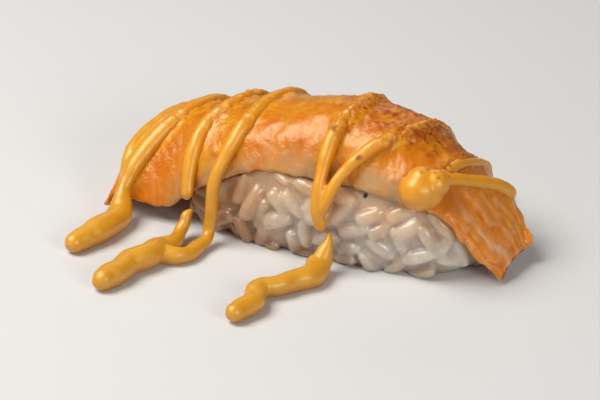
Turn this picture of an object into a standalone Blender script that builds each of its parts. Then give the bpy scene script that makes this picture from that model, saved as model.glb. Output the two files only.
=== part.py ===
"""Nigiri sushi: a pressed block of rice under one draped slice of torched salmon with a thick sauce drizzle.

+X runs along the block, -Y is the side that shows, +Z is up. The origin is the middle of the flat base.
Lengths are in metres; the guide curves are written in millimetres and scaled by MM.
"""

import math
import random

import bmesh
import bpy
from mathutils import Matrix, Vector, noise
from mathutils.bvhtree import BVHTree

MM = 0.001

# The rice block: its core, and the single grains pressed onto it.
RICE_LENGTH = 61.5 * MM
RICE_WIDTH = 28.0 * MM
RICE_HEIGHT = 22.5 * MM
RICE_REAR_SHARE = 0.92
CORE_COLUMNS = 36
CORE_UNEVENNESS = 0.7 * MM
CORE_BUMP_SIZE = 9.0 * MM
GRAIN_LENGTH = 6.2 * MM
GRAIN_WIDTH = 2.9 * MM
GRAIN_FLATNESS = 0.92
GRAIN_RINGS = ((-0.3, 0.78), (0.02, 1.0), (0.32, 0.74))
GRAIN_SIDES = 5
GRAIN_STEP_AROUND = 5.3 * MM
GRAIN_STEP_UP = 3.3 * MM
GRAIN_TILT = 1.2
GRAIN_RISES = (0.24, 0.04, -0.16)
GRAIN_SOLE = 0.15 * MM
GRAIN_SOLE_STEP = 0.01 * MM
SEED = 11

# How square the block's corners are, seen from above: two is an ellipse.
REAR_LEFT_POWER = 2.5
REAR_RIGHT_POWER = 3.4
FRONT_LEFT_POWER = 4.5
FRONT_RIGHT_POWER = 2.8

# Height and width factor of the core's rings, from the base to the crown.
CORE_PROFILE = (
    (0.0, 0.87), (0.07, 0.95), (0.2, 1.0), (0.38, 1.0), (0.56, 0.95),
    (0.72, 0.85), (0.86, 0.68), (0.95, 0.46), (0.99, 0.22),
)

# The slice: guide points in mm, evenly spread from its left end to the flap at its right end.
CREST = (
    (-47.0, 1.2), (-44.3, 11.3), (-36.4, 17.6), (-24.4, 22.4), (-11.0, 25.9),
    (2.5, 28.3), (14.1, 26.6), (23.9, 19.6), (31.7, 12.0), (37.3, 3.0),
)
FRONT_EDGE = (
    (-46.9, -15.2, 1.5), (-44.0, -14.4, 4.4), (-34.0, -14.1, 3.3), (-25.5, -13.9, 9.5), (-13.5, -13.4, 15.8),
    (1.5, -12.6, 16.4), (13.5, -13.2, 16.4), (26.0, -12.5, 15.0), (32.3, -10.0, 6.6), (36.9, -7.0, 0.7),
)
REAR_EDGE = (
    (-45.5, 12.0, 1.6), (-42.5, 13.6, 6.0), (-34.5, 14.0, 8.0), (-24.5, 13.9, 11.0), (-11.5, 13.6, 14.0),
    (1.5, 13.7, 15.0), (13.5, 13.4, 14.0), (23.5, 11.8, 11.5), (32.1, 8.6, 9.0), (37.9, 3.6, 5.4),
)
SLICE_TURN = math.radians(78.0)
SLICE_THICKNESS = 5.0 * MM
SLICE_RIM_SHARE = 0.36
SLICE_END_SHARE = 0.4
SLICE_STEPS_ALONG = 34
SLICE_STEPS_ACROSS = 14
SLICE_RELIEF = 0.35 * MM
SLICE_RELIEF_SIZE = 5.0 * MM
RIM_RAGGEDNESS = 0.55 * MM
RIM_RAGGEDNESS_SIZE = 2.6 * MM
RIM_NOISE_SHIFTS = (9.3, 27.1, 54.7)
UPPER_SOLE = 0.2 * MM
LOWER_SOLE = 0.1 * MM

# The drizzle. Each strand has a weight, which scales its radius, and guide points in mm. A point with two
# numbers lies on the slice; one with three hangs free, or lies on the table where its height is under
# TABLE_REACH, and is then as thick as its height says.
TOP_RADIUS = 1.4
HANG_RADIUS = 1.05
TABLE_REACH = 2.75
SAUCE_LIFT = 0.4
SAUCE_SIDES = 6
SAUCE_STEP = 2.5 * MM
SOLE_STEP = 0.02 * MM
DRIZZLE = {
    "far_left_pass": (1.2, (
        (-41.9, -14.9, 4.8), (-43.1, -9.5), (-42.6, -4.5), (-39.9, 2.0), (-38.0, 7.5), (-37.6, 13.0),
        (-37.6, 16.6, 4.2), (-37.4, 22.5, 1.6),
    )),
    "left_pass": (1.3, (
        (-43.3, -32.3, 2.1), (-41.4, -25.6, 2.5), (-40.8, -19.3, 2.7), (-42.0, -15.0, 6.4), (-40.7, -10.0),
        (-37.6, -4.5), (-34.6, 1.0), (-32.3, 6.5), (-30.9, 11.8), (-30.5, 16.6, 7.0), (-29.9, 18.6, 1.4),
        (-27.9, 24.0, 1.4), (-26.1, 27.6, 1.7),
    )),
    "left_web": (1.1, (
        (-41.9, -8.4), (-40.1, -3.9), (-37.3, 1.4), (-35.2, 6.4),
    )),
    "second_pass": (1.15, (
        (-30.9, -43.4, 2.1), (-29.5, -36.4, 2.45), (-27.6, -30.4, 2.6), (-27.0, -21.7, 1.6),
        (-27.0, -17.4, 3.6), (-27.4, -15.8, 8.6), (-28.1, -11.0), (-27.5, -6.0), (-24.9, -1.0),
        (-22.9, 6.0), (-22.5, 11.6), (-22.9, 16.4, 8.0), (-23.5, 18.6, 1.3), (-24.9, 24.4, 1.4),
    )),
    "third_pass": (1.2, (
        (-26.9, -28.8, 2.0), (-23.2, -27.3, 1.75), (-21.3, -22.2, 1.4), (-21.5, -18.1, 2.9),
        (-21.2, -17.0, 8.0), (-20.9, -15.6, 14.4), (-18.7, -9.4), (-17.3, -3.0), (-15.5, 4.0),
        (-14.8, 8.4), (-14.3, 11.8), (-14.0, 15.5, 12.6), (-13.6, 16.9, 7.0), (-12.7, 18.6, 1.3),
        (-9.1, 24.2, 1.4), (-6.7, 28.0, 1.7),
    )),
    "middle_pass": (1.2, (
        (2.4, -16.8, 9.4), (1.6, -16.8, 13.2), (1.3, -14.4, 18.6), (1.4, -8.0), (2.6, 0.0), (3.2, 7.0),
        (2.2, 11.8), (1.2, 16.6, 9.0), (0.0, 18.8, 1.4), (-4.6, 24.2, 1.5),
    )),
    "right_pass": (1.1, (
        (-2.3, -43.2, 2.0), (-1.1, -38.8, 2.2), (-2.1, -33.2, 2.1), (0.3, -29.6, 2.3), (3.3, -25.4, 2.1),
        (3.7, -19.8, 2.4), (4.1, -17.8, 6.2), (2.5, -17.0, 9.8), (3.7, -16.2, 15.4), (5.9, -12.9, 20.4),
        (11.1, -7.6), (15.1, 0.0), (15.9, 4.6), (16.1, 8.6), (16.0, 11.8), (16.2, 15.4, 12.2),
        (16.4, 16.7, 7.0), (16.9, 18.2, 1.3), (18.9, 22.8, 1.5),
    )),
    "last_pass": (1.0, (
        (22.5, -11.2), (22.9, -4.0), (23.9, 3.0), (24.3, 9.4), (24.2, 14.2, 8.2), (23.9, 17.6, 1.4),
        (21.7, 22.4, 1.5), (20.1, 25.4, 1.7),
    )),
    "flap_strand": (1.15, (
        (21.6, -9.8), (24.6, -4.7), (27.1, 0.4), (29.2, 4.5), (30.7, 7.3),
    )),
}
LUMPS = 0.1
LUMP_TURN = 1.9
END_SHARE = 0.7
DOLLOP_PLACE = (21.4, -11.2)
DOLLOP_RADIUS = 4.2 * MM
DOLLOP_LIFT = 1.5 * MM
DOLLOP_UNEVENNESS = 0.12
DOLLOP_BUMP_SIZE = 4.0 * MM

# Free space between what lies over the rice and its grains, and its core.
GAP = 0.45 * MM
CORE_GAP = 0.8 * MM
CORE_STEP = 0.1 * MM

# A line inside the block, from which the way out to its skin is looked for: shares of its length and height.
CORE_LINE = (0.8, 0.3)
GRAIN_LINE = 0.72
RAY_START = 0.05

RICE_COLOUR = (0.72, 0.66, 0.55, 1.0)
SALMON_COLOUR = (0.72, 0.2, 0.035, 1.0)


def clear_scene():
    for old in list(bpy.data.objects):
        bpy.data.objects.remove(old, do_unlink=True)


def guide(points, share):
    """Smooth curve through the guide points, as a Vector in metres; share runs from 0 to 1."""
    spans = len(points) - 1
    along = min(max(share, 0.0), 1.0) * spans
    span = min(int(along), spans - 1)
    w = along - span
    start = Vector(points[span])
    end = Vector(points[span + 1])
    before = Vector(points[span - 1]) if span > 0 else 2.0 * start - end
    after = Vector(points[span + 2]) if span + 2 <= spans else 2.0 * end - start
    return 0.5 * MM * (
        2.0 * start
        + (end - before) * w
        + (2.0 * before - 5.0 * start + 4.0 * end - after) * w ** 2
        + (3.0 * start - before - 3.0 * end + after) * w ** 3
    )


def slice_point(along, across):
    """Upper face of the slice: along runs 0 to 1 left to right, across -1 (front edge) to 1 (rear edge)."""
    crest = guide(CREST, along)
    edge = guide(FRONT_EDGE if across < 0.0 else REAR_EDGE, along)
    turn = abs(across) * SLICE_TURN
    out = math.sin(turn) / math.sin(SLICE_TURN)
    down = (1.0 - math.cos(turn)) / (1.0 - math.cos(SLICE_TURN))
    return Vector((
        crest.x + (edge.x - crest.x) * out,
        edge.y * out,
        crest.y + (edge.z - crest.y) * down,
    ))


def slice_normal(along, across):
    step = 0.004
    side = -1.0 if across < 0.0 else 1.0
    near = max(abs(across), step)
    by_along = slice_point(min(along + step, 1.0), across) - slice_point(max(along - step, 0.0), across)
    by_across = slice_point(along, side * min(near + step, 1.0)) - slice_point(along, side * (near - step))
    return (by_along.cross(by_across) * side).normalized()


def slice_thickness(along, across):
    from_middle = abs(2.0 * along - 1.0)
    rim = 1.0 - (1.0 - SLICE_RIM_SHARE) * abs(across) ** 3
    end = 1.0 - (1.0 - SLICE_END_SHARE) * from_middle ** 5
    return SLICE_THICKNESS * rim * end


def ragged(point, along, across):
    """Shift of a rim point, so that the cut edges aren't straight."""
    closeness = max(abs(across) ** 6, abs(2.0 * along - 1.0) ** 14)
    spot = point / RIM_RAGGEDNESS_SIZE
    shift = Vector([noise.noise(spot + Vector((apart, apart, apart))) for apart in RIM_NOISE_SHIFTS])
    return shift * RIM_RAGGEDNESS * closeness


def mesh_object(name, points, faces):
    mesh = bpy.data.meshes.new(name)
    mesh.from_pydata([tuple(p) for p in points], [], faces)
    obj = bpy.data.objects.new(name, mesh)
    bpy.context.scene.collection.objects.link(obj)
    edit = bmesh.new()
    edit.from_mesh(mesh)
    bmesh.ops.triangulate(edit, faces=edit.faces)
    bmesh.ops.recalc_face_normals(edit, faces=edit.faces)
    edit.to_mesh(mesh)
    edit.free()
    return obj


def make_slice():
    rows = SLICE_STEPS_ALONG + 1
    columns = SLICE_STEPS_ACROSS + 1
    upper = []
    lower = []
    for row in range(rows):
        along = row / SLICE_STEPS_ALONG
        for column in range(columns):
            across = 2.0 * column / SLICE_STEPS_ACROSS - 1.0
            point = slice_point(along, across)
            normal = slice_normal(along, across)
            point += ragged(point, along, across)
            relief = SLICE_RELIEF * noise.noise(point / SLICE_RELIEF_SIZE)
            inner = point - normal * slice_thickness(along, across)
            point += normal * relief
            upper.append(Vector((point.x, point.y, max(point.z, UPPER_SOLE))))
            lower.append(Vector((inner.x, inner.y, max(inner.z, LOWER_SOLE))))
    count = rows * columns
    faces = []
    for row in range(rows - 1):
        for column in range(columns - 1):
            a = row * columns + column
            b, c, d = a + 1, a + columns + 1, a + columns
            faces.append((a, b, c, d))
            faces.append((a + count, d + count, c + count, b + count))
    for row in range(rows - 1):
        for column in (0, columns - 1):
            a = row * columns + column
            b = a + columns
            faces.append((a, b, b + count, a + count))
    for column in range(columns - 1):
        for row in (0, rows - 1):
            a = row * columns + column
            b = a + 1
            faces.append((a, b, b + count, a + count))
    return mesh_object("salmon", upper + lower, faces)


def surface_tree(obj):
    edit = bmesh.new()
    edit.from_mesh(obj.data)
    tree = BVHTree.FromBMesh(edit)
    edit.free()
    return tree


def on_slice(tree, place, lift):
    """Point above the slice's upper face at (x, y) in mm, raised along the face's normal."""
    above = Vector((place[0] * MM, place[1] * MM, 0.1))
    spot, normal, _, _ = tree.ray_cast(above, Vector((0.0, 0.0, -1.0)))
    if spot is None:
        raise ValueError(f"no slice under {place}")
    if normal.z < 0.0:
        normal = -normal
    return spot + normal * lift


def knot_of(tree, place, weight):
    """Where a guide point puts the strand's middle, in mm, and the strand's radius there."""
    if len(place) == 2:
        radius = TOP_RADIUS * weight
        return on_slice(tree, place, radius * SAUCE_LIFT * MM) / MM, radius
    if place[2] < TABLE_REACH:
        return Vector(place), place[2]
    return Vector(place), HANG_RADIUS * weight


def route_of(tree, places, weight):
    """Evenly spaced points and radii along a strand, in metres."""
    knots = [knot_of(tree, place, weight) for place in places]
    fine = []
    shares = len(knots) * 24
    for index in range(shares + 1):
        share = index / shares
        point = guide([k[0] for k in knots], share)
        position = share * (len(knots) - 1)
        low = min(int(position), len(knots) - 2)
        w = position - low
        radius = (knots[low][1] * (1.0 - w) + knots[low + 1][1] * w) * MM
        fine.append((point, radius))
    length = sum((b[0] - a[0]).length for a, b in zip(fine, fine[1:]))
    steps = max(2, round(length / SAUCE_STEP))
    spaced = []
    walked = 0.0
    target = 0.0
    for a, b in zip(fine, fine[1:]):
        reach = (b[0] - a[0]).length
        while len(spaced) <= steps and target <= walked + reach + 1e-9:
            w = (target - walked) / max(reach, 1e-9)
            spaced.append((a[0].lerp(b[0], w), a[1] * (1.0 - w) + b[1] * w))
            target += length / steps
        walked += reach
    return spaced


def make_strand(name, spaced, sole):
    """Closed tube with rounded ends along the spaced points; it is pressed flat where it meets the table."""
    first, second = spaced[0], spaced[1]
    last, before_last = spaced[-1], spaced[-2]
    head = (first[0] - second[0]).normalized()
    tail = (last[0] - before_last[0]).normalized()
    rings = [(first[0] + head * first[1] * END_SHARE, first[1] * END_SHARE)]
    for index, (point, radius) in enumerate(spaced):
        lump = 1.0 + LUMPS * math.sin(index * LUMP_TURN + len(name))
        rings.append((point, radius * lump))
    rings.append((last[0] + tail * last[1] * END_SHARE, last[1] * END_SHARE))
    points = []
    side = Vector((1.0, 0.0, 0.0))
    for index, (centre, radius) in enumerate(rings):
        ahead = rings[min(index + 1, len(rings) - 1)][0]
        behind = rings[max(index - 1, 0)][0]
        along = (ahead - behind).normalized()
        side = (side - along * side.dot(along)).normalized()
        other = along.cross(side)
        for step in range(SAUCE_SIDES):
            angle = math.tau * step / SAUCE_SIDES
            points.append(centre + (side * math.cos(angle) + other * math.sin(angle)) * radius)
    faces = []
    for ring in range(len(rings) - 1):
        for step in range(SAUCE_SIDES):
            a = ring * SAUCE_SIDES + step
            b = ring * SAUCE_SIDES + (step + 1) % SAUCE_SIDES
            faces.append((a, b, b + SAUCE_SIDES, a + SAUCE_SIDES))
    start_pole = len(points)
    points.append(first[0] + head * first[1])
    points.append(last[0] + tail * last[1])
    last_ring = (len(rings) - 1) * SAUCE_SIDES
    for step in range(SAUCE_SIDES):
        after = (step + 1) % SAUCE_SIDES
        faces.append((after, step, start_pole))
        faces.append((last_ring + step, last_ring + after, start_pole + 1))
    points = [Vector((p.x, p.y, max(p.z, sole))) for p in points]
    return mesh_object(name, points, faces)


def make_dollop(tree):
    centre = on_slice(tree, DOLLOP_PLACE, DOLLOP_LIFT)
    edit = bmesh.new()
    bmesh.ops.create_icosphere(edit, subdivisions=2, radius=DOLLOP_RADIUS)
    for vert in edit.verts:
        bump = DOLLOP_UNEVENNESS * noise.noise(vert.co / DOLLOP_BUMP_SIZE)
        vert.co = vert.co * (1.0 + bump) + centre
    mesh = bpy.data.meshes.new("dollop")
    edit.to_mesh(mesh)
    edit.free()
    obj = bpy.data.objects.new("dollop", mesh)
    bpy.context.scene.collection.objects.link(obj)
    return obj


def fuse(target, extras):
    """Joins the extras onto the target with one Boolean union and removes them."""
    gathered = bpy.data.collections.new(target.name + "_extras")
    bpy.context.scene.collection.children.link(gathered)
    for extra in extras:
        bpy.context.scene.collection.objects.unlink(extra)
        gathered.objects.link(extra)
    union = target.modifiers.new("union", "BOOLEAN")
    union.operation = "UNION"
    union.operand_type = "COLLECTION"
    union.collection = gathered
    union.solver = "EXACT"
    bpy.context.view_layer.update()
    graph = bpy.context.evaluated_depsgraph_get()
    joined = bpy.data.meshes.new_from_object(target.evaluated_get(graph))
    target.modifiers.clear()
    target.data = joined
    for extra in extras:
        bpy.data.objects.remove(extra, do_unlink=True)
    bpy.data.collections.remove(gathered)
    keep_largest_body(target)


def keep_largest_body(obj):
    """Drops loose scraps and fills sealed hollows, both of which are bodies of their own after a union."""
    edit = bmesh.new()
    edit.from_mesh(obj.data)
    bmesh.ops.triangulate(edit, faces=edit.faces)
    left = set(edit.verts)
    bodies = []
    while left:
        grown = {left.pop()}
        edge_of_growth = list(grown)
        while edge_of_growth:
            vert = edge_of_growth.pop()
            for edge in vert.link_edges:
                other = edge.other_vert(vert)
                if other in left:
                    left.remove(other)
                    grown.add(other)
                    edge_of_growth.append(other)
        bodies.append(grown)
    bodies.sort(key=len)
    for scrap in bodies[:-1]:
        bmesh.ops.delete(edit, geom=list(scrap), context="VERTS")
    bmesh.ops.recalc_face_normals(edit, faces=edit.faces)
    edit.to_mesh(obj.data)
    edit.free()


def corner_power(x, y):
    if y > 0.0:
        return REAR_LEFT_POWER if x < 0.0 else REAR_RIGHT_POWER
    return FRONT_LEFT_POWER if x < 0.0 else FRONT_RIGHT_POWER


def make_core(over):
    """The pressed block without its grains, kept clear of the slice over it."""
    columns = CORE_COLUMNS
    points = []
    for height_share, width_share in CORE_PROFILE:
        for column in range(columns):
            angle = math.tau * column / columns
            c, s = math.cos(angle), math.sin(angle)
            power = corner_power(c, s)
            reach = (abs(c) ** power + abs(s) ** power) ** (-1.0 / power)
            depth_share = RICE_REAR_SHARE if s > 0.0 else 1.0
            point = Vector((
                0.5 * RICE_LENGTH * width_share * c * reach,
                0.5 * RICE_WIDTH * width_share * depth_share * s * reach,
                RICE_HEIGHT * height_share,
            ))
            bump = CORE_UNEVENNESS * noise.noise(point / CORE_BUMP_SIZE)
            point += Vector((c, s, 0.0)) * bump
            points.append(fitted(point, over))
    crown = len(points)
    points.append(fitted(Vector((0.0, 0.0, RICE_HEIGHT)), over))
    faces = [tuple(range(columns))]
    for ring in range(len(CORE_PROFILE) - 1):
        for column in range(columns):
            a = ring * columns + column
            b = ring * columns + (column + 1) % columns
            faces.append((a, b, b + columns, a + columns))
    last_ring = (len(CORE_PROFILE) - 1) * columns
    for column in range(columns):
        faces.append((last_ring + column, last_ring + (column + 1) % columns, crown))
    return mesh_object("rice", points, faces)


def fitted(point, over):
    """The point, or where the way to it from inside first comes too near to the slice and the sauce."""
    inside = Vector((point.x * CORE_LINE[0], 0.0, min(point.z, RICE_HEIGHT * CORE_LINE[1])))
    way = (point - inside).normalized()
    far = (point - inside).length
    _, _, _, hit = over.ray_cast(inside, way)
    if hit is not None:
        far = min(far, hit - CORE_GAP)
    while far > CORE_STEP and over.find_nearest(inside + way * far)[3] < CORE_GAP:
        far -= CORE_STEP
    return inside + way * far


def grain_points(centre, lengthwise, outward, length, width, sole):
    """A plump grain: a pole, three rings and a pole."""
    sideways = lengthwise.cross(outward).normalized()
    points = [centre - lengthwise * length * 0.5]
    for place, share in GRAIN_RINGS:
        for step in range(GRAIN_SIDES):
            angle = math.tau * (step + 0.5) / GRAIN_SIDES
            offset = outward * math.cos(angle) * GRAIN_FLATNESS + sideways * math.sin(angle)
            points.append(centre + lengthwise * length * place + offset * width * 0.5 * share)
    points.append(centre + lengthwise * length * 0.5)
    return [Vector((p.x, p.y, max(p.z, sole))) for p in points]


def grain_faces():
    faces = []
    for step in range(GRAIN_SIDES):
        after = (step + 1) % GRAIN_SIDES
        faces.append((0, 1 + after, 1 + step))
        for ring in (0, 1):
            a = 1 + ring * GRAIN_SIDES + step
            b = 1 + ring * GRAIN_SIDES + after
            faces.append((a, b, b + GRAIN_SIDES, a + GRAIN_SIDES))
        end = 1 + 2 * GRAIN_SIDES
        faces.append((end + step, end + after, end + GRAIN_SIDES))
    return faces


def clear_of(points, over):
    middles = [(a + b) * 0.5 for a, b in zip(points, points[1:])]
    for point in points + middles:
        spot, normal, _, distance = over.find_nearest(point)
        if distance < GAP or (point - spot).dot(normal) < 0.0:
            return False
    return True


def make_grains(core, over):
    """Grains in staggered rows round the block, turned at random, where the slice and sauce leave room."""
    draw = random.Random(SEED)
    skin = surface_tree(core)
    faces = grain_faces()
    grains = []
    rows = int(0.95 * RICE_HEIGHT / GRAIN_STEP_UP)
    for row in range(rows):
        height = (row + 0.45) * GRAIN_STEP_UP
        around = math.pi * (RICE_LENGTH + RICE_WIDTH) * 0.5
        count = round(around / GRAIN_STEP_AROUND)
        for index in range(count):
            share = (index + 0.5 * (row % 2) + draw.uniform(-0.2, 0.2)) / count
            angle = math.tau * share
            outside = Vector((
                0.5 * RICE_LENGTH * math.copysign(abs(math.cos(angle)) ** 0.8, math.cos(angle)),
                0.5 * RICE_WIDTH * math.copysign(abs(math.sin(angle)) ** 0.8, math.sin(angle)),
                height + draw.uniform(-0.5, 0.5) * MM,
            ))
            inside = Vector((outside.x * GRAIN_LINE, 0.0, outside.z))
            way = (outside - inside).normalized()
            spot, normal, _, _ = skin.ray_cast(inside + way * RAY_START, -way)
            tilt = draw.uniform(-GRAIN_TILT, GRAIN_TILT)
            length = GRAIN_LENGTH * draw.uniform(0.85, 1.12)
            width = GRAIN_WIDTH * draw.uniform(0.9, 1.08)
            if spot is None or normal.z < -0.8:
                continue
            level = Vector((0.0, 0.0, 1.0)).cross(normal).normalized()
            lengthwise = Matrix.Rotation(tilt, 3, normal) @ level
            for rise in GRAIN_RISES:
                centre = spot + normal * width * rise
                sole = GRAIN_SOLE + len(grains) * GRAIN_SOLE_STEP
                points = grain_points(centre, lengthwise, normal, length, width, sole)
                if clear_of(points, over):
                    grains.append(mesh_object(f"grain_{len(grains)}", points, faces))
                    break
    return grains


def paint(obj, name, colour, roughness):
    material = bpy.data.materials.new(name)
    material.use_nodes = True
    shader = material.node_tree.nodes["Principled BSDF"]
    shader.inputs["Base Color"].default_value = colour
    shader.inputs["Roughness"].default_value = roughness
    shader.inputs["Metallic"].default_value = 0.0
    obj.data.materials.clear()
    obj.data.materials.append(material)


def main():
    clear_scene()
    salmon = make_slice()
    top = surface_tree(salmon)
    extras = []
    for index, (name, (weight, places)) in enumerate(DRIZZLE.items()):
        spaced = route_of(top, places, weight)
        extras.append(make_strand(name, spaced, index * SOLE_STEP))
    extras.append(make_dollop(top))
    fuse(salmon, extras)
    over = surface_tree(salmon)
    rice = make_core(over)
    fuse(rice, make_grains(rice, over))
    paint(salmon, "salmon", SALMON_COLOUR, 0.35)
    paint(rice, "rice", RICE_COLOUR, 0.5)


main()
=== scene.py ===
"""Looks of the torched salmon nigiri: the slice, the sauce on it, the grains of rice and a plain studio.

Lengths are in metres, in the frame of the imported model; guide points are in millimetres, as in the solids.
"""

import math
import random

import bmesh
import bpy
import numpy as np
from mathutils import Matrix, Vector, noise
from mathutils.bvhtree import BVHTree
from mathutils.kdtree import KDTree


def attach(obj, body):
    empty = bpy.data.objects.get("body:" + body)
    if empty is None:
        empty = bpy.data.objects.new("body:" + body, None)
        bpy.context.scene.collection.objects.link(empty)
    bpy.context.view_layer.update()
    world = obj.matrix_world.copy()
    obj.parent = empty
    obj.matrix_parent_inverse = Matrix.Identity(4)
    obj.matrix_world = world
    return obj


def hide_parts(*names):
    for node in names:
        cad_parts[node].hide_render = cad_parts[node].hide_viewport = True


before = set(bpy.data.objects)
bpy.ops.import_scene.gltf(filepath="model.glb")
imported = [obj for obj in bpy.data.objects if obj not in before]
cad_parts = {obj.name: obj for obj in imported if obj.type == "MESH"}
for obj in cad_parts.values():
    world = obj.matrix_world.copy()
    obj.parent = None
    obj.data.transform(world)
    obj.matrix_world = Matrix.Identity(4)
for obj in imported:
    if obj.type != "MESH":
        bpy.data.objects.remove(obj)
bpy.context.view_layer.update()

MM = 0.001

# The slice's guides, the same as the solid's.
CREST = (
    (-47.0, 1.2), (-44.3, 11.3), (-36.4, 17.6), (-24.4, 22.4), (-11.0, 25.9),
    (2.5, 28.3), (14.1, 26.6), (23.9, 19.6), (31.7, 12.0), (37.3, 3.0),
)
FRONT_EDGE = (
    (-46.9, -15.2, 1.5), (-44.0, -14.4, 4.4), (-34.0, -14.1, 3.3), (-25.5, -13.9, 9.5), (-13.5, -13.4, 15.8),
    (1.5, -12.6, 16.4), (13.5, -13.2, 16.4), (26.0, -12.5, 15.0), (32.3, -10.0, 6.6), (36.9, -7.0, 0.7),
)
REAR_EDGE = (
    (-45.5, 12.0, 1.6), (-42.5, 13.6, 6.0), (-34.5, 14.0, 8.0), (-24.5, 13.9, 11.0), (-11.5, 13.6, 14.0),
    (1.5, 13.7, 15.0), (13.5, 13.4, 14.0), (23.5, 11.8, 11.5), (32.1, 8.6, 9.0), (37.9, 3.6, 5.4),
)
SLICE_TURN = math.radians(78.0)
SLICE_THICKNESS = 5.0 * MM
SLICE_RIM_SHARE = 0.24
SLICE_END_SHARE = 0.4
SLICE_RELIEF = 0.35 * MM
RIM_RAGGEDNESS = 0.44 * MM
RIM_FRAY = 0.18 * MM
RIM_NOISE_SIZES = (2.6 * MM, 1.1 * MM)
RIM_NOISE_SHIFTS = (9.3, 27.1, 54.7)
SLICE_SOLE = 0.15 * MM
END_ROUNDING = 1.5 * MM
RIM_INSET = 0.045
RIM_BULGE = 0.9
RIM_ANGLE = math.radians(62.0)

# The slice's surface: the slanting muscle layers (width and streaks in mm) and each kind of relief.
MUSCLE_SLANT = 0.55
MUSCLE_WIDTH = 6.8
FAT_LINE_SHARE = 0.075
STREAK_SIZE = (1.1, 4.2)
MIDDLE_RELIEF = 0.12 * MM
FINE_RELIEF = 0.03 * MM
STREAK_RELIEF = 0.09 * MM
BEAD_RELIEF = 0.38 * MM
BOILED_RELIEF = 0.12 * MM
FAT_GROOVE = 0.12 * MM
FLAP_FIBRE_RELIEF = 0.11 * MM
FLAP_MIDDLE_RELIEF = 0.22 * MM
FLAP_LINE_RELIEF = 0.16 * MM
RIPPLE_RELIEF = 0.07 * MM
RIPPLE_LENGTH = 1.25

# The drizzle's guides, the same as the solid's: weight, then points on the slice (x, y) or free (x, y, z).
TOP_RADIUS = 1.4
HANG_RADIUS = 1.05
TABLE_REACH = 2.75
SAUCE_LIFT = 0.4
DRIZZLE = {
    "far_left_pass": (1.2, (
        (-41.9, -14.9, 4.8), (-43.1, -9.5), (-42.6, -4.5), (-39.9, 2.0), (-38.0, 7.5), (-37.6, 13.0),
        (-37.6, 16.6, 4.2), (-37.4, 22.5, 1.6),
    )),
    "left_pass": (1.3, (
        (-43.3, -32.3, 2.1), (-41.4, -25.6, 2.5), (-40.8, -19.3, 2.7), (-42.0, -15.0, 6.4), (-40.7, -10.0),
        (-37.6, -4.5), (-34.6, 1.0), (-32.3, 6.5), (-30.9, 11.8), (-30.5, 16.6, 7.0), (-29.9, 18.6, 1.4),
        (-27.9, 24.0, 1.4), (-26.1, 27.6, 1.7),
    )),
    "left_web": (1.1, (
        (-41.9, -8.4), (-40.1, -3.9), (-37.3, 1.4), (-35.2, 6.4),
    )),
    "second_pass": (1.15, (
        (-30.9, -43.4, 2.1), (-29.5, -36.4, 2.45), (-27.6, -30.4, 2.6), (-27.0, -21.7, 1.6),
        (-27.0, -17.4, 3.6), (-27.4, -15.8, 8.6), (-28.1, -11.0), (-27.5, -6.0), (-24.9, -1.0),
        (-22.9, 6.0), (-22.5, 11.6), (-22.9, 16.4, 8.0), (-23.5, 18.6, 1.3), (-24.9, 24.4, 1.4),
    )),
    "third_pass": (1.2, (
        (-26.9, -28.8, 2.0), (-23.2, -27.3, 1.75), (-21.3, -22.2, 1.4), (-21.5, -18.1, 2.9),
        (-21.2, -17.0, 8.0), (-20.9, -15.6, 14.4), (-18.7, -9.4), (-17.3, -3.0), (-15.5, 4.0), (-14.8, 8.4),
        (-14.3, 11.8), (-14.0, 15.5, 12.6), (-13.6, 16.9, 7.0), (-12.7, 18.6, 1.3), (-9.1, 24.2, 1.4),
        (-6.7, 28.0, 1.7),
    )),
    "middle_pass": (1.2, (
        (2.4, -16.8, 9.4), (1.6, -16.8, 13.2), (1.3, -14.4, 18.6), (1.4, -8.0), (2.6, 0.0), (3.2, 7.0),
        (2.2, 11.8), (1.2, 16.6, 9.0), (0.0, 18.8, 1.4), (-4.6, 24.2, 1.5),
    )),
    "right_pass": (1.1, (
        (-2.3, -43.2, 2.0), (-1.1, -38.8, 2.2), (-2.1, -33.2, 2.1), (0.3, -29.6, 2.3), (3.3, -25.4, 2.1),
        (3.7, -19.8, 2.4), (4.1, -17.8, 6.2), (2.5, -17.0, 9.8), (3.7, -16.2, 15.4), (5.9, -12.9, 20.4),
        (11.1, -7.6), (15.1, 0.0), (15.9, 4.6), (16.1, 8.6), (16.0, 11.8), (16.2, 15.4, 12.2),
        (16.4, 16.7, 7.0), (16.9, 18.2, 1.3), (18.9, 22.8, 1.5),
    )),
    "last_pass": (1.0, (
        (22.5, -11.2), (22.9, -4.0), (23.9, 3.0), (24.3, 9.4), (24.2, 14.2, 8.2), (23.9, 17.6, 1.4),
        (21.7, 22.4, 1.5), (20.1, 25.4, 1.7),
    )),
    "flap_strand": (1.15, (
        (21.6, -9.8), (24.6, -4.7), (27.1, 0.4), (29.2, 4.5), (30.7, 7.3),
    )),
}
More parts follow.
